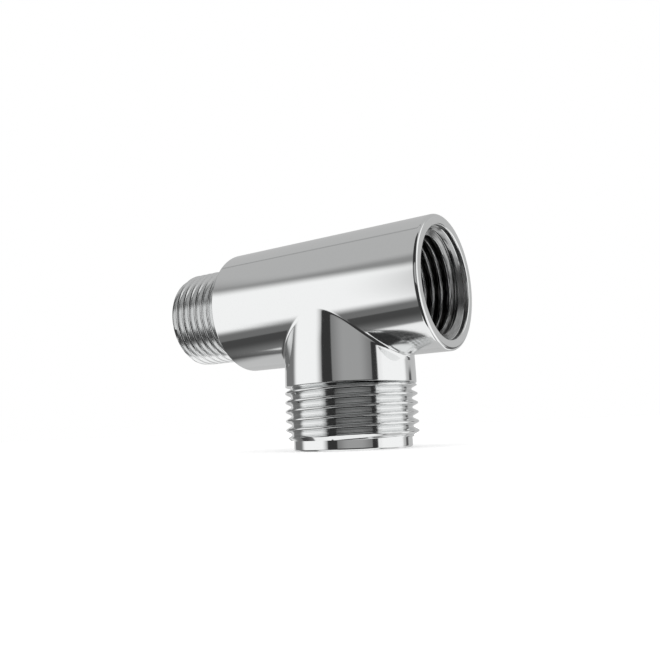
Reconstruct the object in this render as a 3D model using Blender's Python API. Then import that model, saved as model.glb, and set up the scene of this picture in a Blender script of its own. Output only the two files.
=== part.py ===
"""Threaded hose tee: a one-piece plated brass fitting with three pipe connections.

The run lies along X, with an outside half inch thread at its -X end and a half inch
socket at its +X end. The branch points down and carries an outside three-quarter inch
thread and a plain collar, on whose rim the tee stands. Metres, +Z up. The origin is on
the floor, under the middle of the tee's length.
"""

import math

import bmesh
import bpy
import numpy as np
from mathutils import Matrix

MM = 0.001

# Pipe threads, 14 turns to the inch, flanks at 55 degrees
PITCH = 25.4 * MM / 14
FLANK_ANGLE = math.radians(55 / 2)
THREAD_DEPTH = 0.640327 * PITCH
HALF_INCH_CREST = 20.955 * MM / 2
HALF_INCH_ROOT = HALF_INCH_CREST - THREAD_DEPTH
THREE_QUARTER_CREST = 26.441 * MM / 2
THREE_QUARTER_ROOT = THREE_QUARTER_CREST - THREAD_DEPTH
THREAD_RELIEF = 0.15 * MM

# Outside three-quarter inch thread on the branch, and the collar below it
BRANCH_THREAD_LENGTH = 10.5 * MM
BRANCH_THREAD_CHAMFER = 0.9 * MM
BRANCH_THREAD_PHASE = 0.77
COLLAR_STEP = 0.3 * MM
COLLAR_LENGTH = 2.0 * MM
COLLAR_CHAMFER = 0.3 * MM
COLLAR_WALL = 2.25 * MM
COLLAR_RADIUS = THREE_QUARTER_ROOT - COLLAR_STEP

# Outside half inch thread at the end of the run
SPIGOT_LENGTH = 14.7 * MM
SPIGOT_CHAMFER = 0.8 * MM
SPIGOT_PHASE = 0.27
SPIGOT_WALL = 1.8 * MM

# Waterways
RUN_BORE_RADIUS = HALF_INCH_ROOT - SPIGOT_WALL
BRANCH_BORE_RADIUS = COLLAR_RADIUS - COLLAR_WALL
BORE_CHAMFER = 0.4 * MM
DRILL_POINT_ANGLE = math.radians(118 / 2)

# Socket in the face of the run, its floor clear of the bore up the branch
SOCKET_DEPTH = 11.0 * MM
SOCKET_FLOOR_WALL = 1.5 * MM
SOCKET_FLOOR = BRANCH_BORE_RADIUS + SOCKET_FLOOR_WALL
SOCKET_RUN_OUT = 1.0 * MM
SOCKET_PHASE = 0.44
SOCKET_WALL = 2.52 * MM
RECESS_CLEARANCE = 0.42 * MM
RECESS_RADIUS = HALF_INCH_CREST + RECESS_CLEARANCE
RECESS_DEPTH = 1.0 * MM
MOUTH_CHAMFER = 0.3 * MM
TAP_CLEARANCE = 0.1 * MM

# Neck of the branch: drawn in towards the run, and at its foot a hair inside the thread's crests
NECK_LENGTH = 5.0 * MM
NECK_STEP = 0.07 * MM
NECK_RADIUS = THREE_QUARTER_CREST - NECK_STEP
NECK_WAIST = 1.16 * MM
NECK_STEPS = 6
NECK_ROUND = 0.25 * MM

# Run: the round barrel along X, its ends measured from the axis of the branch
NECK_TO_SHOULDER = 12.15 * MM
BARREL_RADIUS = HALF_INCH_CREST + SOCKET_WALL
BARREL_FRONT = SOCKET_FLOOR + SOCKET_DEPTH
BARREL_BACK = NECK_RADIUS + NECK_TO_SHOULDER
FACE_ROUND = 0.6 * MM
SHOULDER_ROUND = 0.3 * MM
SPIGOT_END = BARREL_BACK + SPIGOT_LENGTH

# Branch: its lengths down from the axis of the run
NECK_END = BARREL_RADIUS + NECK_LENGTH
COLLAR_TOP = NECK_END + BRANCH_THREAD_LENGTH
BRANCH_END = COLLAR_TOP + COLLAR_LENGTH

# Facets and overlaps
SEGMENTS = 36
ARC_STEPS = 3
SHARP_ANGLE = math.radians(25)
OVERLAP = 1.0 * MM
WELD = 0.0001 * MM
SEAM = 0.02 * MM

# Where the branch and the run stand over the origin
BRANCH_X = (SPIGOT_END - BARREL_FRONT) / 2
RUN_HEIGHT = BRANCH_END

ALONG_BRANCH = Matrix.Translation((BRANCH_X, 0, RUN_HEIGHT))
ALONG_RUN = ALONG_BRANCH @ Matrix.Rotation(math.pi / 2, 4, "Y")


def clear_scene():
    for thing in list(bpy.data.objects):
        bpy.data.objects.remove(thing, do_unlink=True)


def rounded_corner(along, radius, amount, direction):
    """Points of a quarter round on an outer edge, from the side to the end face.

    direction is +1 where the end face lies at the greater distance along the axis.
    """
    points = []
    for step in range(ARC_STEPS + 1):
        turn = step / ARC_STEPS * math.pi / 2
        reach = along - direction * amount * (1 - math.sin(turn))
        points.append((reach, radius - amount * (1 - math.cos(turn))))
    return points


def finished_object(name, bm, place):
    """Makes an object of a closed mesh whose own axis is Z, and puts it in its place."""
    bmesh.ops.recalc_face_normals(bm, faces=bm.faces)
    mesh = bpy.data.meshes.new(name)
    bm.to_mesh(mesh)
    bm.free()
    mesh.shade_smooth()
    mesh.set_sharp_from_angle(angle=SHARP_ANGLE)
    made = bpy.data.objects.new(name, mesh)
    made.matrix_world = place
    bpy.context.scene.collection.objects.link(made)
    return made


def turned(name, outline, place):
    """A solid of revolution. The outline is (along, radius) pairs, closed over the axis."""
    bm = bmesh.new()
    outline = [(outline[0][0], 0.0)] + outline + [(outline[-1][0], 0.0)]
    corners = [bm.verts.new((radius, 0, along)) for along, radius in outline]
    edges = [bm.edges.new(pair) for pair in zip(corners, corners[1:])]
    bmesh.ops.spin(
        bm,
        geom=corners + edges,
        cent=(0, 0, 0),
        axis=(0, 0, 1),
        angle=2 * math.pi,
        steps=SEGMENTS,
        use_merge=True,
    )
    bmesh.ops.remove_doubles(bm, verts=bm.verts, dist=WELD)
    return finished_object(name, bm, place)


def threaded_rod(name, crest, depth, phase, blank, place):
    """A right-hand screw thread cut on a turned blank, which sets its ends and run-outs.

    phase moves the crests along the rod, as a share of one pitch. The blank is
    (along, radius) pairs from low to high.
    """
    root = crest - depth
    flank = depth * math.tan(FLANK_ANGLE)
    flat = PITCH / 2 - flank
    one_turn = [(0.0, crest), (flat, crest), (flat + flank, root), (2 * flat + flank, root)]
    blank_along, blank_radius = zip(*blank)
    low, high = blank_along[0], blank_along[-1]
    # whole turns, with one and a half or more to spare below and above the blank
    start = (math.floor(low / PITCH) - 2 + phase) * PITCH
    turns = math.ceil((high - start) / PITCH) + 1
    bm = bmesh.new()
    corners = []
    for turn in range(turns):
        for along, radius in one_turn:
            corners.append(bm.verts.new((radius, 0, start + turn * PITCH + along)))
    edges = [bm.edges.new(pair) for pair in zip(corners, corners[1:])]
    bmesh.ops.spin(
        bm,
        geom=corners + edges,
        cent=(0, 0, 0),
        axis=(0, 0, 1),
        dvec=(0, 0, PITCH / SEGMENTS),
        angle=2 * math.pi,
        steps=SEGMENTS,
    )
    for corner in bm.verts:
        along = min(max(corner.co.z, low), high)
        radius = corner.co.xy.length
        limit = float(np.interp(along, blank_along, blank_radius))
        wanted = limit if along != corner.co.z else min(radius, limit)
        corner.co.xy *= wanted / radius
        corner.co.z = along
    bmesh.ops.remove_doubles(bm, verts=bm.verts, dist=WELD)
    for end in (low, high):
        rim = [edge for edge in bm.edges if edge.is_boundary]
        rim = [edge for edge in rim if abs(edge.verts[0].co.z - end) < WELD]
        bmesh.ops.contextual_create(bm, geom=rim)
    return finished_object(name, bm, place)


def combine(target, others, operation):
    """Adds a Boolean with other solids, which stay in the file as hidden guides."""
    guides = bpy.data.collections.new(target.name + "_" + operation.lower())
    bpy.context.scene.collection.children.link(guides)
    for other in others:
        guides.objects.link(other)
        other.hide_render = True
        other.display_type = "WIRE"
    step = target.modifiers.new(guides.name, "BOOLEAN")
    step.operation = operation
    step.operand_type = "COLLECTION"
    step.collection = guides
    seam = target.modifiers.new(guides.name + "_seam", "WELD")
    seam.merge_threshold = SEAM


def plated_brass():
    """Polished chrome over brass: mirror bright, neutral, with a trace of grey."""
    finish = bpy.data.materials.new("chrome_plated_brass")
    finish.use_nodes = True
    shader = finish.node_tree.nodes["Principled BSDF"]
    shader.inputs["Base Color"].default_value = (0.62, 0.62, 0.61, 1)
    shader.inputs["Metallic"].default_value = 1.0
    shader.inputs["Roughness"].default_value = 0.12
    return finish


def barrel():
    """The plain round of the run, from the shoulder to the socket's face."""
    back = rounded_corner(-BARREL_BACK, BARREL_RADIUS, SHOULDER_ROUND, -1)
    front = rounded_corner(BARREL_FRONT, BARREL_RADIUS, FACE_ROUND, 1)
    return turned("tee_body", back[::-1] + front, ALONG_RUN)


def neck():
    """The round of the branch, which narrows in a long curve up to the axis of the run."""
    outline = []
    for step in range(NECK_STEPS):
        down = step / NECK_STEPS
        outline.append((-NECK_END * down, NECK_RADIUS - NECK_WAIST * (1 - down) ** 2))
    outline += rounded_corner(-NECK_END, NECK_RADIUS, NECK_ROUND, -1)
    return turned("neck", outline, ALONG_BRANCH)


def collar():
    """The smooth pilot below the branch thread, with the rim that the tee stands on."""
    outline = [
        (-NECK_END + OVERLAP, COLLAR_RADIUS),
        (-BRANCH_END + COLLAR_CHAMFER, COLLAR_RADIUS),
        (-BRANCH_END, COLLAR_RADIUS - COLLAR_CHAMFER),
    ]
    return turned("collar", outline, ALONG_BRANCH)


def spigot_thread():
    """The outside thread at the end of the run, with its run-out and lead-in chamfer."""
    blank = [
        (-SPIGOT_END, HALF_INCH_CREST - SPIGOT_CHAMFER),
        (-SPIGOT_END + SPIGOT_CHAMFER, HALF_INCH_CREST),
        (-BARREL_BACK - THREAD_RELIEF - THREAD_DEPTH, HALF_INCH_CREST),
        (-BARREL_BACK - THREAD_RELIEF, HALF_INCH_ROOT),
        (-BARREL_BACK + OVERLAP, HALF_INCH_ROOT),
    ]
    return threaded_rod("spigot_thread", HALF_INCH_CREST, THREAD_DEPTH, SPIGOT_PHASE, blank, ALONG_RUN)


def branch_thread():
    """The outside thread of the branch, between the neck and the collar."""
    crest = THREE_QUARTER_CREST
    blank = [
        (-COLLAR_TOP, crest - BRANCH_THREAD_CHAMFER),
        (-COLLAR_TOP + BRANCH_THREAD_CHAMFER, crest),
        (-NECK_END - THREAD_RELIEF - THREAD_DEPTH / 2, crest),
        (-NECK_END - THREAD_RELIEF, THREE_QUARTER_ROOT),
        (-NECK_END + OVERLAP, THREE_QUARTER_ROOT),
    ]
    return threaded_rod("branch_thread", crest, THREAD_DEPTH, BRANCH_THREAD_PHASE, blank, ALONG_BRANCH)


def run_waterway():
    """The bore right through the run: recess, lead-in, threaded length and plain bore."""
    lead_in = RECESS_RADIUS - HALF_INCH_ROOT
    outline = [
        (BARREL_FRONT + OVERLAP, RECESS_RADIUS + MOUTH_CHAMFER + OVERLAP),
        (BARREL_FRONT - MOUTH_CHAMFER, RECESS_RADIUS),
        (BARREL_FRONT - RECESS_DEPTH, RECESS_RADIUS),
        (BARREL_FRONT - RECESS_DEPTH - lead_in, HALF_INCH_ROOT),
        (SOCKET_FLOOR, HALF_INCH_ROOT),
        (SOCKET_FLOOR, RUN_BORE_RADIUS),
        (-SPIGOT_END + BORE_CHAMFER, RUN_BORE_RADIUS),
        (-SPIGOT_END - OVERLAP, RUN_BORE_RADIUS + BORE_CHAMFER + OVERLAP),
    ]
    return turned("run_waterway", outline, ALONG_RUN)


def socket_thread():
    """The thread tapped in the socket, as the screw that cuts it."""
    depth = THREAD_DEPTH + TAP_CLEARANCE
    low = SOCKET_FLOOR + SOCKET_RUN_OUT
    blank = [
        (low, HALF_INCH_CREST - depth),
        (low + depth, HALF_INCH_CREST),
        (BARREL_FRONT - RECESS_DEPTH - RECESS_CLEARANCE / 2, HALF_INCH_CREST),
    ]
    return threaded_rod("socket_thread", HALF_INCH_CREST, depth, SOCKET_PHASE, blank, ALONG_RUN)


def branch_waterway():
    """The bore up the branch, which ends in a drill point inside the run."""
    half_point = BRANCH_BORE_RADIUS / math.tan(DRILL_POINT_ANGLE) / 2
    outline = [
        (-BRANCH_END - OVERLAP, BRANCH_BORE_RADIUS + BORE_CHAMFER + OVERLAP),
        (-BRANCH_END + BORE_CHAMFER, BRANCH_BORE_RADIUS),
        (-half_point, BRANCH_BORE_RADIUS),
        (half_point, 0.0),
    ]
    return turned("branch_waterway", outline, ALONG_BRANCH)


def tee():
    """The whole fitting, one solid casting with its threads cut in it."""
    body = barrel()
    body.data.materials.append(plated_brass())
    combine(body, [neck(), collar(), spigot_thread(), branch_thread()], "UNION")
    combine(body, [run_waterway(), socket_thread(), branch_waterway()], "DIFFERENCE")
    return body


clear_scene()
tee()
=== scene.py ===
import math

import bmesh
import bpy
import numpy as np
from mathutils import Matrix, Vector


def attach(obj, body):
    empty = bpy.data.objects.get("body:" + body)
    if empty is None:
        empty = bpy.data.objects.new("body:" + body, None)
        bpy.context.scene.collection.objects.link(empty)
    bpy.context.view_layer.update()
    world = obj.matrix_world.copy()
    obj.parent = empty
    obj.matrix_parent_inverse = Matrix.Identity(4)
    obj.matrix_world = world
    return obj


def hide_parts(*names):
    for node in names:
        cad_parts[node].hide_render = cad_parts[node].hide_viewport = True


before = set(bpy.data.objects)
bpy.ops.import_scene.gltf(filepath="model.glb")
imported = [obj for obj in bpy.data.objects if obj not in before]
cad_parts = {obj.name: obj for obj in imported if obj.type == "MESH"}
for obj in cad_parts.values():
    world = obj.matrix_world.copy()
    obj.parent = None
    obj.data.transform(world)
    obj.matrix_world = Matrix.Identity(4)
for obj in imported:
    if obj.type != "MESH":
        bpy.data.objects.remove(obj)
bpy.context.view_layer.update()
print("frame loaded")

mm = 0.001
around = 192  # facets to the turn; every round has the same, so that their edges meet
weld = 0.002  # mm, joins the edges of skins that meet
support = 0.08  # mm, a ring this close to a rounded corner keeps the flat beside it flat
roundSteps = 6  # facets across a rounded corner
sharpAngle = 35  # degrees

# 14 turns to the inch, flanks at 55 degrees to each other, crests and roots rounded; sizes in mm
pipeThread = {
    "pitch": 25.4 / 14,
    "flankAngle": 27.5,
    "depthShare": 0.640327,  # of the pitch, as the next is
    "roundShare": 0.137329,
    "arcPoints": 5,  # along a rounded crest or root
    "flankShares": (0.12, 0.88),  # corners near the ends of each flank, which keep it flat
    "runUp": 0.4,  # chamfer of the crests beside the neck and the shoulder
    "halfInch": 20.955 / 2,
    "threeQuarter": 26.441 / 2,
}
threadDepth = pipeThread["pitch"] * pipeThread["depthShare"]
halfInchRoot = pipeThread["halfInch"] - threadDepth
threeQuarterRoot = pipeThread["threeQuarter"] - threadDepth

# collar below the branch thread, in mm
collarSize = {"step": 0.3, "length": 2.0, "chamfer": 0.3, "wall": 2.25, "softEdge": 0.1}
collarRadius = threeQuarterRoot - collarSize["step"]

# waterways
boreSize = {
    "run": halfInchRoot - 1.8,
    "branch": collarRadius - collarSize["wall"],
    "chamfer": 0.4,
    "drillPoint": 59,  # degrees from the axis
    "overlap": 1.0,
}

# tapped socket in the end of the run
socketSize = {
    "floor": boreSize["branch"] + 1.5,
    "depth": 11.0,
    "runOut": 1.0,
    "recessRadius": pipeThread["halfInch"] + 0.42,
    "recessDepth": 1.0,
    "mouthEdge": 0.35,
    "phase": 0.44,
    "onLeadIn": 0.02,  # a corner this close to the lead-in's cone lies on it
    "clearOfRecess": 0.15,
}

# neck of the branch; it is drawn in towards the run, by the waist at the run's axis
neckSize = {
    "radius": pipeThread["threeQuarter"] - 0.07,
    "length": 5.0,
    "waist": 1.16,
    "round": 0.25,
    "creaseTries": 20,  # each comes closer to where the neck meets the barrel
}

# barrel of the run, measured from the axis of the branch
barrelRadius = pipeThread["halfInch"] + 2.52
barrelSize = {
    "front": socketSize["floor"] + socketSize["depth"],
    "back": neckSize["radius"] + 12.15,
    "faceRound": 0.6,
    "shoulderRound": 0.3,
    "rows": 24,  # from the crease to each end, closest together at the crease
}

spigotSize = {"length": 14.7, "chamfer": 0.8, "phase": 0.27}
branchSize = {"threadLength": 10.5, "chamfer": 0.9, "phase": 0.77}

spigotEnd = barrelSize["back"] + spigotSize["length"]
neckEnd = barrelRadius + neckSize["length"]
collarTop = neckEnd + branchSize["threadLength"]
branchEnd = collarTop + collarSize["length"]
branchPlace = (spigotEnd - barrelSize["front"]) / 2  # along the run, from the middle of its length

# the recess ends here; from here the lead-in narrows at 45 degrees, towards a tip on the run's axis
recessEnd = barrelSize["front"] - socketSize["recessDepth"]
leadInTip = recessEnd - socketSize["recessRadius"]

# polished fillet between neck and barrel
filletSize = {
    "radius": 0.9,  # mm, where the two meet square; it is less where they meet flatter
    "least": 0.02,
    "fade": 0.2,  # slope at which the neck's round dives into the barrel over the run's axis
    "passes": 5,  # each brings a corner closer to the fillet
}

alongBranch = Matrix.Identity(4)
alongRun = Matrix.Rotation(math.pi / 2, 4, "Y")  # a turned outline's own axis, Z, becomes X


def addSkin(body, part, place):
    # adds a part, made about its own Z axis, to the body
    bmesh.ops.transform(part, matrix=place, verts=part.verts)
    carrier = bpy.data.meshes.new("carrier")
    part.to_mesh(carrier)
    part.free()
    body.from_mesh(carrier)
    bpy.data.meshes.remove(carrier)


def turnedSkin(outline):
    # turns an outline of (along, radius, rounding) corners about Z
    part = bmesh.new()
    corners = [part.verts.new((radius, 0, along)) for along, radius, rounding in outline]
    for pair in zip(corners, corners[1:]):
        part.edges.new(pair)
    for corner, (along, radius, rounding) in zip(corners, outline):
        if rounding:
            bmesh.ops.bevel(
                part, geom=[corner], offset=rounding, offset_type="OFFSET",
                segments=roundSteps, profile=0.5, affect="VERTICES", material=-1,
            )
    bmesh.ops.spin(
        part, geom=part.verts[:] + part.edges[:], cent=(0, 0, 0), axis=(0, 0, 1),
        angle=2 * math.pi, steps=around, use_merge=True,
    )
    bmesh.ops.remove_doubles(part, verts=part.verts, dist=weld)
    return part


def threadForm(crest):
    # one pitch of the thread: a rounded crest at 0, a flank, and a rounded root half a pitch on
    pitch = pipeThread["pitch"]
    tip = pitch * pipeThread["roundShare"]
    root = crest - threadDepth
    lean = math.radians(90 - pipeThread["flankAngle"])
    turns = np.linspace(-lean, lean, pipeThread["arcPoints"])
    crestPoints = [(tip * math.sin(turn), crest - tip * (1 - math.cos(turn))) for turn in turns]
    rootPoints = [
        (pitch / 2 + tip * math.sin(turn), root + tip * (1 - math.cos(turn))) for turn in turns
    ]
    down = [Vector(crestPoints[-1]).lerp(rootPoints[0], share) for share in pipeThread["flankShares"]]
    nextCrest = Vector(crestPoints[0]) + Vector((pitch, 0))
    up = [Vector(rootPoints[-1]).lerp(nextCrest, share) for share in pipeThread["flankShares"]]
    return crestPoints + [tuple(at) for at in down] + rootPoints + [tuple(at) for at in up]


def threadSkin(form, phase, blank, bore=None):
    # winds the form round Z as a right-hand screw and fits it inside the blank, or outside the bore
    pitch = pipeThread["pitch"]
    blankAlong, blankRadius = zip(*blank)
    low, high = blankAlong[0], blankAlong[-1]
    formAlong, formRadius = zip(*form)
    crestFlat = pitch / 4 - threadDepth * math.tan(math.radians(pipeThread["flankAngle"])) / 2
    offset = phase * pitch + crestFlat
    start = (math.floor(low / pitch) - 2) * pitch + offset
    turns = math.ceil((high - start) / pitch) + 1
    part = bmesh.new()
    corners = []
    for turn in range(turns):
        for along, radius in form:
            corners.append(part.verts.new((radius, 0, start + turn * pitch + along)))
    edges = [part.edges.new(pair) for pair in zip(corners, corners[1:])]
    bmesh.ops.spin(
        part, geom=corners + edges, cent=(0, 0, 0), axis=(0, 0, 1),
        dvec=(0, 0, pitch / around), angle=2 * math.pi, steps=around,
    )
    for corner in part.verts:
        along = min(max(corner.co.z, low), high)
        turned = math.atan2(corner.co.y, corner.co.x) / (2 * math.pi)
        radius = np.interp(along - offset - turned * pitch, formAlong, formRadius, period=pitch)
        wanted = min(radius, np.interp(along, blankAlong, blankRadius))
        if bore:
            wanted = max(wanted, np.interp(along, *zip(*bore)))
        corner.co.xy *= wanted / corner.co.xy.length
        corner.co.z = along
    bmesh.ops.remove_doubles(part, verts=part.verts, dist=weld)
    return part


def neckRadiusAt(height):
    # radius of the neck at a height over the run's axis; above it the round dives into the barrel
    radius = neckSize["radius"] - neckSize["waist"] * max(1 + height / neckEnd, 0) ** 2
    if height > 0:
        dive = math.sqrt(max(barrelRadius**2 - height**2, 0)) - filletSize["fade"] * height
        radius = min(radius, dive)
    return radius


def creaseAt(turned):
    # where the neck meets the barrel, at an angle round the branch
    height = 0
    for tries in range(neckSize["creaseTries"]):
        height = -math.sqrt(barrelRadius**2 - (neckRadiusAt(height) * math.sin(turned)) ** 2)
    return height


def seatOnFillet(corner):
    # moves a corner onto the surface that blends the barrel and the neck
    for tries in range(filletSize["passes"]):
        x, y, z = corner.co
        acrossRun = math.hypot(y, z)
        acrossBranch = math.hypot(x, y)
        slope = (neckRadiusAt(z + weld) - neckRadiusAt(z - weld)) / (2 * weld)
        outBarrel = Vector((0, y, z)) / acrossRun
        outNeck = Vector((x / acrossBranch, y / acrossBranch, -slope))
        offBarrel = acrossRun - barrelRadius
        offNeck = acrossBranch - neckRadiusAt(z)
        reach = max(filletSize["radius"] * (1 - outBarrel.dot(outNeck)), filletSize["least"])
        near = max(reach - abs(offBarrel - offNeck), 0) / reach
        off = min(offBarrel, offNeck) - near * near * reach / 4
        share = 1 - near / 2 if offBarrel < offNeck else near / 2
        out = outBarrel * share + outNeck * (1 - share)
        corner.co -= out * (off / out.length_squared)


def grownRow(part, edges):
    # extrudes a row of edges and gives the new row's corners and edges
    grown = bmesh.ops.extrude_edge_only(part, edges=edges)["geom"]
    corners = {thing for thing in grown if isinstance(thing, bmesh.types.BMVert)}
    row = [thing for thing in grown if isinstance(thing, bmesh.types.BMEdge)]
    return corners, [edge for edge in row if set(edge.verts) <= corners]


def teeSkin():
    # neck and barrel in one skin: columns run up the neck to the crease, then out along the barrel
    part = bmesh.new()
    column = part.verts.layers.float.new("column")
    rows = barrelSize["rows"]
    foot = -(neckEnd - neckSize["round"] - support)
    bmesh.ops.create_circle(part, segments=around, radius=neckSize["radius"], cap_ends=False)
    bmesh.ops.translate(part, verts=part.verts, vec=(0, 0, foot))
    for corner in part.verts:
        corner[column] = math.atan2(corner.co.y, corner.co.x)
    edges = part.edges[:]
    for row in range(1, rows + 1):
        up = 1 - (1 - row / rows) ** 2
        corners, edges = grownRow(part, edges)
        for corner in corners:
            turned = corner[column]
            height = foot + (creaseAt(turned) - foot) * up
            radius = neckRadiusAt(height)
            corner.co = (radius * math.cos(turned), radius * math.sin(turned), height)
    growBarrel(part, edges)
    for corner in part.verts:
        seatOnFillet(corner)
    return part


def growBarrel(part, crease):
    # both halves of the barrel, each grown from the crease and an arc over the branch to its end;
    # angles are round the run, from the front and upwards
    starts = [part.verts.layers.float.new(name) for name in ("startAlong", "startAngle", "endAngle")]
    front = min((corner for edge in crease for corner in edge.verts), key=lambda corner: corner.co.y)
    frontAngle = math.atan2(front.co.z, -front.co.y)
    sweep = math.pi - 2 * frontAngle
    bmesh.ops.spin(
        part, geom=[front], cent=(0, 0, 0), axis=(-1, 0, 0), angle=sweep, steps=around // 2,
    )
    bmesh.ops.remove_doubles(part, verts=part.verts, dist=weld)
    foot = min(corner.co.z for corner in part.verts)
    rim = [edge for edge in part.edges if edge.is_boundary and edge.verts[0].co.z > foot + 1]
    arc = [edge for edge in part.edges if edge.is_wire]
    for corner in {corner for edge in arc for corner in edge.verts}:
        angle = math.atan2(corner.co.z, -corner.co.y) % (2 * math.pi)
        angle -= 2 * math.pi if angle > math.pi - frontAngle + weld else 0
        for layer, value in zip(starts, (0, angle, (angle - frontAngle) * math.pi / sweep)):
            corner[layer] = value
    for corner in {corner for edge in rim for corner in edge.verts}:
        angle = math.atan2(corner.co.z, -corner.co.y)
        sideways = min(max(-corner.co.y / math.hypot(corner.co.x, corner.co.y), -1), 1)
        for layer, value in zip(starts, (corner.co.x, angle, -math.acos(sideways))):
            corner[layer] = value
    rows = barrelSize["rows"]
    rightEnd = barrelSize["front"] - barrelSize["faceRound"] - support
    leftEnd = -(barrelSize["back"] - barrelSize["shoulderRound"] - support)
    for end in (rightEnd, leftEnd):
        edges = arc + [edge for edge in rim if (edge.verts[0].co.x + edge.verts[1].co.x) * end > 0]
        for row in range(1, rows + 1):
            out = (row / rows) ** 2
            corners, edges = grownRow(part, edges)
            for corner in corners:
                startAlong, startAngle, endAngle = (corner[layer] for layer in starts)
                angle = startAngle + (endAngle - startAngle) * out
                corner.co.x = startAlong + (end - startAlong) * out
                corner.co.y = -barrelRadius * math.cos(angle)
                corner.co.z = barrelRadius * math.sin(angle)


def openEdges(body, along, height):
    # the open edges of the body that lie at a height on the axis given by its index
    found = [edge for edge in body.edges if edge.is_boundary]
    return [edge for edge in found if all(abs(end.co[along] - height) < weld for end in edge.verts)]


def meshObject(name, body):
    mesh = bpy.data.meshes.new(name)
    body.to_mesh(mesh)
    body.free()
    made = bpy.data.objects.new(name, mesh)
    bpy.context.scene.collection.objects.link(made)
    return made


def closedSkin():
    # the whole outside of the fitting and its tapped socket, without the waterways
    body = bmesh.new()
    addSkin(body, teeSkin(), alongBranch)
    front, back = barrelSize["front"], barrelSize["back"]
    recess = socketSize["recessRadius"]
    addSkin(body, turnedSkin([
        (front - barrelSize["faceRound"] - support, barrelRadius, 0),
        (front, barrelRadius, barrelSize["faceRound"]),
        (front, barrelRadius - barrelSize["faceRound"] - support, 0),
        (front, recess + socketSize["mouthEdge"] + support, 0),
        (front, recess, socketSize["mouthEdge"]),
        (recessEnd, recess, 0),
    ]), alongRun)
    addSkin(body, turnedSkin([
        (-back, pipeThread["halfInch"] - pipeThread["runUp"] + support, 0),
        (-back, barrelRadius - barrelSize["shoulderRound"] - support, 0),
        (-back, barrelRadius, barrelSize["shoulderRound"]),
        (-(back - barrelSize["shoulderRound"] - support), barrelRadius, 0),
    ]), alongRun)
    addSkin(body, turnedSkin([
        (-(neckEnd - neckSize["round"] - support), neckSize["radius"], 0),
        (-neckEnd, neckSize["radius"], neckSize["round"]),
        (-neckEnd, neckSize["radius"] - neckSize["round"] - support, 0),
    ]), alongBranch)
    soft = collarSize["softEdge"]
    rimRadius = collarRadius - collarSize["chamfer"]
    addSkin(body, turnedSkin([
        (-collarTop, collarRadius, 0),
        (-branchEnd + collarSize["chamfer"] + soft + support, collarRadius, 0),
        (-branchEnd + collarSize["chamfer"], collarRadius, soft),
        (-branchEnd, rimRadius, soft),
        (-branchEnd, rimRadius - soft - support, 0),
    ]), alongBranch)
    crest, runUp = pipeThread["threeQuarter"], pipeThread["runUp"]
    addSkin(body, threadSkin(threadForm(crest), branchSize["phase"], [
        (-collarTop, crest - branchSize["chamfer"]),
        (-collarTop + branchSize["chamfer"], crest),
        (-neckEnd - runUp, crest),
        (-neckEnd, crest - runUp - support),
    ]), alongBranch)
    crest, root = pipeThread["halfInch"], halfInchRoot
    addSkin(body, threadSkin(threadForm(crest), spigotSize["phase"], [
        (-spigotEnd, crest - spigotSize["chamfer"]),
        (-spigotEnd + spigotSize["chamfer"], crest),
        (-back - runUp, crest),
        (-back, crest - runUp),
    ]), alongRun)
    floor = socketSize["floor"]
    tapEnd = floor + socketSize["runOut"]
    addSkin(body, threadSkin(threadForm(crest), socketSize["phase"], [
        (floor, root),
        (tapEnd, root),
        (tapEnd + threadDepth, crest),
        (recessEnd, crest),
    ], bore=[(floor, root), (leadInTip + root, root), (recessEnd, recess)]), alongRun)
    bmesh.ops.remove_doubles(body, verts=body.verts, dist=weld)
    for along, height in ((2, -collarTop), (2, -neckEnd), (0, -back)):
        bmesh.ops.bridge_loops(body, edges=openEdges(body, along, height))
    bmesh.ops.holes_fill(body, edges=[edge for edge in body.edges if edge.is_boundary], sides=0)
    bmesh.ops.recalc_face_normals(body, faces=body.faces)
    return meshObject("teeFitting", body)


def waterways():
    # the bore through the run and the drilled bore up the branch, as solids to cut away
    past, chamfer = boreSize["overlap"], boreSize["chamfer"]
    run, branch = boreSize["run"], boreSize["branch"]
    halfPoint = branch / math.tan(math.radians(boreSize["drillPoint"])) / 2
    cutters = []
    for name, place, outline in (
        ("runWaterway", alongRun, [
            (-spigotEnd - past, run + chamfer + past),
            (-spigotEnd + chamfer, run),
            (socketSize["floor"] + past, run),
        ]),
        ("branchWaterway", alongBranch, [
            (-branchEnd - past, branch + chamfer + past),
            (-branchEnd + chamfer, branch),
            (-halfPoint, branch),
            (halfPoint, 0),
        ]),
    ):
        part = turnedSkin([(along, radius, 0) for along, radius in outline])
        rims = [edge for edge in part.edges if edge.is_boundary]
        bmesh.ops.holes_fill(part, edges=rims, sides=0)
        bmesh.ops.recalc_face_normals(part, faces=part.faces)
        bmesh.ops.transform(part, matrix=place, verts=part.verts)
        cutters.append(meshObject(name, part))
    return cutters


def applied(piece):
    # the piece's mesh with its modifiers, in place of the mesh it had
    depsgraph = bpy.context.evaluated_depsgraph_get()
    mesh = bpy.data.meshes.new_from_object(piece.evaluated_get(depsgraph))
    piece.modifiers.clear()
    piece.data = mesh
    mesh.name = piece.name


def roundFirstTurn(mesh):
    # shades as rounded the edges that the lead-in leaves on the tapped thread's first turn
    onLeadIn = []
    for corner in mesh.vertices:
        x, y, z = corner.co / mm
        radius = math.hypot(y, z - branchEnd)
        close = abs(radius - (x - branchPlace - leadInTip)) < socketSize["onLeadIn"]
        clear = radius < socketSize["recessRadius"] - socketSize["clearOfRecess"]
        onLeadIn.append(close and clear)
    for edge in mesh.edges:
        if edge.use_edge_sharp and all(onLeadIn[end] for end in edge.vertices):
            edge.use_edge_sharp = False


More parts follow.
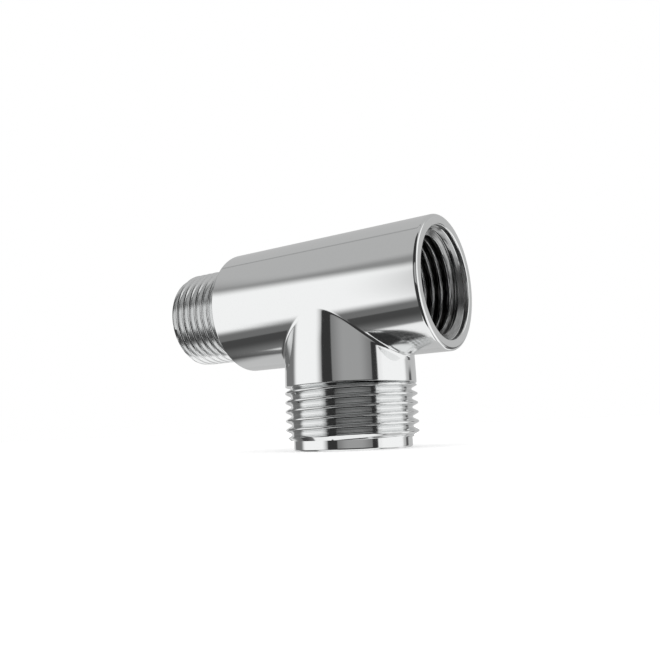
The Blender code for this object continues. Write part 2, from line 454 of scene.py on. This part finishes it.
def teeFitting():
    piece = closedSkin()
    cutters = waterways()
    drilled = bpy.data.collections.new("waterways")
    for cutter in cutters:
        drilled.objects.link(cutter)
    cut = piece.modifiers.new("waterways", "BOOLEAN")
    cut.operation = "DIFFERENCE"
    cut.operand_type = "COLLECTION"
    cut.collection = drilled
    applied(piece)
    for cutter in cutters:
        bpy.data.objects.remove(cutter)
    bpy.data.collections.remove(drilled)
    mesh = piece.data
    mesh.transform(Matrix.Scale(mm, 4) @ Matrix.Translation((branchPlace, 0, branchEnd)))
    mesh.shade_smooth()
    mesh.set_sharp_from_angle(angle=math.radians(sharpAngle))
    roundFirstTurn(mesh)
    return piece


def linear(code):
    # an sRGB hex value as linear light
    colour = []
    for at in (1, 3, 5):
        part = int(code[at:at + 2], 16) / 255
        colour.append(part / 12.92 if part <= 0.04045 else ((part + 0.055) / 1.055) ** 2.4)
    return colour + [1]


def addNode(tree, kind, inputs=(), **settings):
    # adds a node; its inputs, in their order or by name or number, are values or nodes' sockets
    node = tree.nodes.new(kind)
    for name, value in settings.items():
        setattr(node, name, value)
    for name, value in inputs.items() if isinstance(inputs, dict) else enumerate(inputs):
        if isinstance(value, bpy.types.NodeSocket):
            tree.links.new(value, node.inputs[name])
        else:
            node.inputs[name].default_value = value
    return node


slack = 0.05  # mm, a ramp this short only tells a surface from the next
inSocket = (
    ("along", socketSize["floor"] - 2 * slack, socketSize["floor"] - slack),
    ("radius", socketSize["recessRadius"] - slack, socketSize["recessRadius"] - 2 * slack),
)

# Chromium electroplate on brass, polished before plating: a neutral mirror, a little soft from
# the buffing, with faint waves in the polish. A zone is a level and the ramps that bound it; a
# ramp is a distance, and where along it, in mm, the zone begins and is whole.
chromePlate = {
    "colour": "#e7e8e8",
    "roughness": (0.05, 0.08),
    "patch": 3.0,  # mm, size of the softer and sharper patches
    "patchSpread": (0.3, 0.7),
    "wave": 1.6,  # mm, spacing of the waves that buffing leaves
    "waveHeight": 0.0008,  # mm
    # least roughness, where the buffing wheel hardly reaches
    "unbuffedZones": (
        # the run's outer thread
        (0.15, (("along", -barrelSize["back"] - slack, -barrelSize["back"] - 2 * slack),)),
        # the recess at the mouth
        (0.28, (
            ("along", recessEnd, recessEnd + slack),
            ("radius", socketSize["recessRadius"] + slack, socketSize["recessRadius"]),
        )),
        # the corner under the barrel, between the neck and the mouth
        (0.13, (
            ("up", -6, -10),
            ("along", 5, 12),
            ("radius", barrelRadius - 2 * slack, barrelRadius - slack),
            ("radius", barrelRadius + 2 * slack, barrelRadius + slack),
        )),
    ),
    # how much painted shade and dullness: the tapped socket and the run's bore are painted dark and
    # streaky, as the shade that falls in them, and made rougher
    "paintedShadeAndDullZones": (
        # the grooves, painted as shaded past the first flank
        (1.0, (
            ("overLands", 0.03, 0.12),
            ("along", barrelSize["front"] - 2.1, barrelSize["front"] - 3.2),
            *inSocket,
        )),
        # the lead-in, painted as shaded away from its inner edge, which is left bright as a painted
        # highlight ring
        (0.6, (("radius", halfInchRoot + 0.3, halfInchRoot + 0.5), *inSocket)),
        # the bore through the run, painted as shaded
        (1.0, (
            ("radius", boreSize["run"] + 2 * slack, boreSize["run"] + slack),
            ("along", boreSize["branch"], boreSize["branch"] + slack),
        )),
    ),
    # colours of the painted shade in the socket and bore, dark and lighter grey mixed in streaks
    "paintedShadeColours": ("#262626", "#868686"),
    # roughness where the painted shade is whole
    "shadedZoneRoughness": 0.3,
    "streak": 2.0,  # mm, length of the streaks
    "streakThinner": 12,
    "streakSpread": (0.35, 0.65),
}


def distancesOnRun(tree, place):
    # distances along the run from the branch, over the run's axis, from it, and over the tapped
    # thread's lands and lead-in
    at = addNode(tree, "ShaderNodeSeparateXYZ", (place,)).outputs
    steps = {"across": at["Y"]}
    for name, operation, first, second in (
        ("along", "SUBTRACT", at["X"], branchPlace * mm),
        ("up", "SUBTRACT", at["Z"], branchEnd * mm),
        ("acrossSquare", "MULTIPLY", "across", "across"),
        ("upSquare", "MULTIPLY", "up", "up"),
        ("square", "ADD", "acrossSquare", "upSquare"),
        ("radius", "SQRT", "square", 0.0),
        ("leadIn", "SUBTRACT", "along", leadInTip * mm),
        ("land", "MAXIMUM", "leadIn", halfInchRoot * mm),
        ("overLands", "SUBTRACT", "radius", "land"),
    ):
        inputs = [steps.get(value, value) for value in (first, second)]
        steps[name] = addNode(tree, "ShaderNodeMath", inputs, operation=operation).outputs[0]
    return steps


def strongestZone(tree, distances, zones):
    # the highest level of the zones that a point lies in, 0 outside them all
    highest = 0.0
    for level, ramps in zones:
        share = level
        for name, begins, whole in ramps:
            ramp = addNode(tree, "ShaderNodeMapRange", {
                "Value": distances[name], "From Min": begins * mm, "From Max": whole * mm,
            }, interpolation_type="SMOOTHSTEP").outputs["Result"]
            share = addNode(tree, "ShaderNodeMath", (share, ramp), operation="MULTIPLY").outputs[0]
        highest = addNode(tree, "ShaderNodeMath", (highest, share), operation="MAXIMUM").outputs[0]
    return highest


def polishedChromePlate():
    material = bpy.data.materials.new("polishedChromePlate")
    material.use_nodes = True
    tree = material.node_tree
    shader = tree.nodes["Principled BSDF"]
    shader.inputs["Metallic"].default_value = 1.0
    place = addNode(tree, "ShaderNodeTexCoord").outputs["Object"]
    distances = distancesOnRun(tree, place)
    # share of painted shade in the socket's grooves and lead-in and in the run's bore; it also makes
    # them rougher
    paintedShadeAndDull = strongestZone(tree, distances, chromePlate["paintedShadeAndDullZones"])
    unbuffed = strongestZone(tree, distances, chromePlate["unbuffedZones"])
    thinner = (chromePlate["streakThinner"], 1, 1)
    stretched = addNode(tree, "ShaderNodeMapping", {"Vector": place, "Scale": thinner})
    streaks, patches, waves = [
        addNode(tree, "ShaderNodeTexNoise", {
            "Vector": at, "Scale": 1 / (chromePlate[size] * mm), "Detail": detail,
        }).outputs["Fac"]
        for at, size, detail in (
            (stretched.outputs["Vector"], "streak", 3.0), (place, "patch", 3.0), (place, "wave", 2.0),
        )
    ]
    low, high = chromePlate["streakSpread"]
    lighter = addNode(tree, "ShaderNodeMapRange", {"Value": streaks, "From Min": low, "From Max": high})
    dark, light = [linear(code) for code in chromePlate["paintedShadeColours"]]
    # the painted shade: streaky dark greys take the place of the chrome colour as its share grows
    paintedShadeColour = addNode(tree, "ShaderNodeMix", {
        0: lighter.outputs["Result"], 6: dark, 7: light,
    }, data_type="RGBA")
    colour = addNode(tree, "ShaderNodeMix", {
        0: paintedShadeAndDull, 6: linear(chromePlate["colour"]), 7: paintedShadeColour.outputs[2],
    }, data_type="RGBA")
    low, high = chromePlate["patchSpread"]
    sharpest, softest = chromePlate["roughness"]
    polish = addNode(tree, "ShaderNodeMapRange", {
        "Value": patches, "From Min": low, "From Max": high, "To Min": sharpest, "To Max": softest,
    }).outputs["Result"]
    least = addNode(tree, "ShaderNodeMath", (polish, unbuffed), operation="MAXIMUM").outputs[0]
    rough = addNode(tree, "ShaderNodeMapRange", {
        "Value": paintedShadeAndDull, "To Min": least, "To Max": chromePlate["shadedZoneRoughness"],
    })
    bump = addNode(tree, "ShaderNodeBump", {
        "Strength": 1.0, "Distance": chromePlate["waveHeight"] * mm, "Height": waves,
    })
    tree.links.new(colour.outputs[2], shader.inputs["Base Color"])
    tree.links.new(rough.outputs["Result"], shader.inputs["Roughness"])
    tree.links.new(bump.outputs["Normal"], shader.inputs["Normal"])
    return material


# Studio, in degrees round the fitting: azimuth 0 is in front (-Y), 90 is at the socket (+X).
# The metal sees a white room with softboxes and with grey and dark cards; the nearest come first.
studio = {
    "distance": 1.0,  # m, of the nearest card
    "cardGap": 0.05,  # from each card to the next
    "cardSquares": 40,  # along a side; with fewer, a card sags through the one in front of it
    "middle": (0, 0, 0.02),
    "floorRadius": 2.5,
    "floorSides": 64,
    "floorColour": "#f4f4f4",
    "floorRoughness": 0.9,
    "floorLift": 0.34,
    "roomLevel": 0.85,
    "lampLevel": 0.15,
    "lampWidth": 70,
    "lampTurn": (30, -20, 0),
}
cards = {  # azimuth, elevation, (width, height), (softness at the sides, at top and bottom), glow
    "frontGreyMiddle": (34.5, 10, (69, 32), (24, 3), 0.39),
    "frontGrey": (34.5, 10, (69, 32), (2, 3), 0.24),
    "frontDark": (30.5, 0, (99, 156), (3, 8), 0.04),
    "backFlag": (156, -12, (16, 36), (6, 2), 0.1),
    "keySoftbox": (-50, -1.5, (76, 67), (19, 12), 1.09),
    "fillSoftbox": (112, -4, (60, 100), (8, 6), 1.09),
    "rearSoftbox": (152, -31, (50, 26), (5, 5), 1.0),
    "leftFlag": (-99, 0, (58, 74), (14, 8), 0.2),
    "backGrey": (-173, 0, (98, 74), (8, 8), 0.56),
    "backLowGrey": (-168, -45, (80, 50), (8, 6), 0.6),
    "lowSoftbox": (-50, -88, (58, 58), (3, 3), 1.05),
    "lowGlow": (-50, -88, (80, 80), (20, 20), 0.3),
    "lowDark": (-50, -88, (95, 95), (1.5, 1.5), 0.07),
    "lowFade": (-50, -88, (126, 126), (8, 8), 0.18),
    "topLine": (180, 82.5, (150, 4.5), (10, 1.5), 0.37),
    "topBack": (180, 55, (150, 55), (10, 2), 0.54),
    "topGrey": (0, 90, (108, 108), (13, 13), 0.52),
    "topShade": (0, 90, (152, 152), (4, 4), 0.31),
    "keyBacking": (-22, 0, (48, 110), (4, 6), 0.05),
}


def cardMaterial(name, size, soft, glow):
    # an even glow that fades out towards the card's edges; its sides are tangents of angles
    material = bpy.data.materials.new(name)
    material.use_nodes = True
    tree = material.node_tree
    tree.nodes.clear()
    place = addNode(tree, "ShaderNodeTexCoord").outputs["Object"]
    at = addNode(tree, "ShaderNodeSeparateXYZ", (place,)).outputs
    insides = []
    for side, angle, edge in zip("XY", size, soft):
        tangent = addNode(tree, "ShaderNodeMath", (at[side], at["Z"]), operation="DIVIDE")
        tangent = addNode(tree, "ShaderNodeMath", (tangent.outputs[0],), operation="ABSOLUTE")
        inside = addNode(tree, "ShaderNodeMapRange", {
            "Value": tangent.outputs[0],
            "From Min": math.tan(math.radians(angle / 2)),
            "From Max": math.tan(math.radians(angle / 2 - edge)),
        }, interpolation_type="SMOOTHSTEP")
        insides.append(inside.outputs["Result"])
    share = addNode(tree, "ShaderNodeMath", insides, operation="MULTIPLY").outputs[0]
    clear = addNode(tree, "ShaderNodeBsdfTransparent").outputs[0]
    shine = addNode(tree, "ShaderNodeEmission", {"Strength": glow}).outputs[0]
    mix = addNode(tree, "ShaderNodeMixShader", (share, clear, shine)).outputs[0]
    addNode(tree, "ShaderNodeOutputMaterial", {"Surface": mix})
    return material


def studioCard(name, order):
    # a soft-edged card that only the metal sees, curved round the fitting
    azimuth, elevation, size, soft, glow = cards[name]
    halves = [math.tan(math.radians(angle / 2)) for angle in size]
    squares = studio["cardSquares"]
    sheet = bmesh.new()
    bmesh.ops.create_grid(sheet, x_segments=squares, y_segments=squares, size=1)
    for corner in sheet.verts:
        at = Vector((corner.co.x * halves[0], corner.co.y * halves[1], -1)).normalized()
        corner.co = at * (studio["distance"] + studio["cardGap"] * order)
    made = meshObject(name, sheet)
    azimuth, elevation = math.radians(azimuth), math.radians(elevation)
    direction = Vector((
        math.sin(azimuth) * math.cos(elevation),
        -math.cos(azimuth) * math.cos(elevation),
        math.sin(elevation),
    ))
    made.location = studio["middle"]
    made.rotation_euler = direction.to_track_quat("-Z", "Y").to_euler()
    made.data.materials.append(cardMaterial(name, size, soft, glow))
    made.visible_camera = False
    made.visible_diffuse = False
    made.visible_shadow = False


def seenByMetal(tree):
    # 1 for rays from the camera and for those that metal or glass sends on
    rays = addNode(tree, "ShaderNodeLightPath").outputs
    share = rays["Is Camera Ray"]
    for kind in ("Is Glossy Ray", "Is Transmission Ray"):
        share = addNode(tree, "ShaderNodeMath", (share, rays[kind]), operation="MAXIMUM").outputs[0]
    return share


def paleFloor():
    disc = bmesh.new()
    bmesh.ops.create_circle(
        disc, segments=studio["floorSides"], radius=studio["floorRadius"], cap_ends=True,
    )
    floor = meshObject("paleFloor", disc)
    material = bpy.data.materials.new("paleFloor")
    material.use_nodes = True
    tree = material.node_tree
    shader = tree.nodes["Principled BSDF"]
    shader.inputs["Base Color"].default_value = linear(studio["floorColour"])
    shader.inputs["Roughness"].default_value = studio["floorRoughness"]
    shader.inputs["Specular IOR Level"].default_value = 0.0
    shader.inputs["Emission Color"].default_value = (1, 1, 1, 1)
    seen = (seenByMetal(tree), studio["floorLift"])
    lift = addNode(tree, "ShaderNodeMath", seen, operation="MULTIPLY")
    tree.links.new(lift.outputs[0], shader.inputs["Emission Strength"])
    floor.data.materials.append(material)
    floor.visible_glossy = False


def whiteRoom():
    # white behind everything; the light it sheds leaves room for the lamp's
    world = bpy.data.worlds.new("whiteRoom")
    world.use_nodes = True
    tree = world.node_tree
    level = addNode(tree, "ShaderNodeMapRange", {
        "Value": seenByMetal(tree), "To Min": studio["roomLevel"], "To Max": 1.0,
    })
    background = tree.nodes["Background"]
    background.inputs["Color"].default_value = (1, 1, 1, 1)
    tree.links.new(level.outputs["Result"], background.inputs["Strength"])
    bpy.context.scene.world = world


def softLamp():
    # a wide lamp high on the left, for the shadow on the floor; the metal sees the cards instead
    lamp = bpy.data.lights.new("softLamp", "SUN")
    lamp.energy = studio["lampLevel"] * math.pi
    lamp.angle = math.radians(studio["lampWidth"])
    made = bpy.data.objects.new("softLamp", lamp)
    made.rotation_euler = [math.radians(turn) for turn in studio["lampTurn"]]
    made.visible_glossy = False
    bpy.context.scene.collection.objects.link(made)


# the photograph's view, close to the fitting and just over the floor
cameraSize = {
    "place": (80.777, -118.921, 4.146),  # mm
    "turn": (98.141, 2.323, 32.986),  # degrees
    "lens": 37.599,
    "sensor": 36,
    "clip": (0.001, 100),  # m
}


def photoCamera():
    camera = bpy.data.objects.new("photoCamera", bpy.data.cameras.new("photoCamera"))
    camera.data.sensor_width = cameraSize["sensor"]
    camera.data.lens = cameraSize["lens"]
    camera.data.clip_start, camera.data.clip_end = cameraSize["clip"]
    camera.location = Vector(cameraSize["place"]) * mm
    camera.rotation_euler = [math.radians(turn) for turn in cameraSize["turn"]]
    bpy.context.scene.collection.objects.link(camera)
    bpy.context.scene.camera = camera


tee = teeFitting()
tee.data.materials.clear()
tee.data.materials.append(polishedChromePlate())
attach(tee, "root")
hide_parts("tee_body")
print("fitting made:", len(tee.data.polygons), "faces")

paleFloor()
whiteRoom()
softLamp()
for order, name in enumerate(cards):
    studioCard(name, order)
photoCamera()
bpy.context.scene.view_settings.view_transform = "Standard"
print("studio ready")
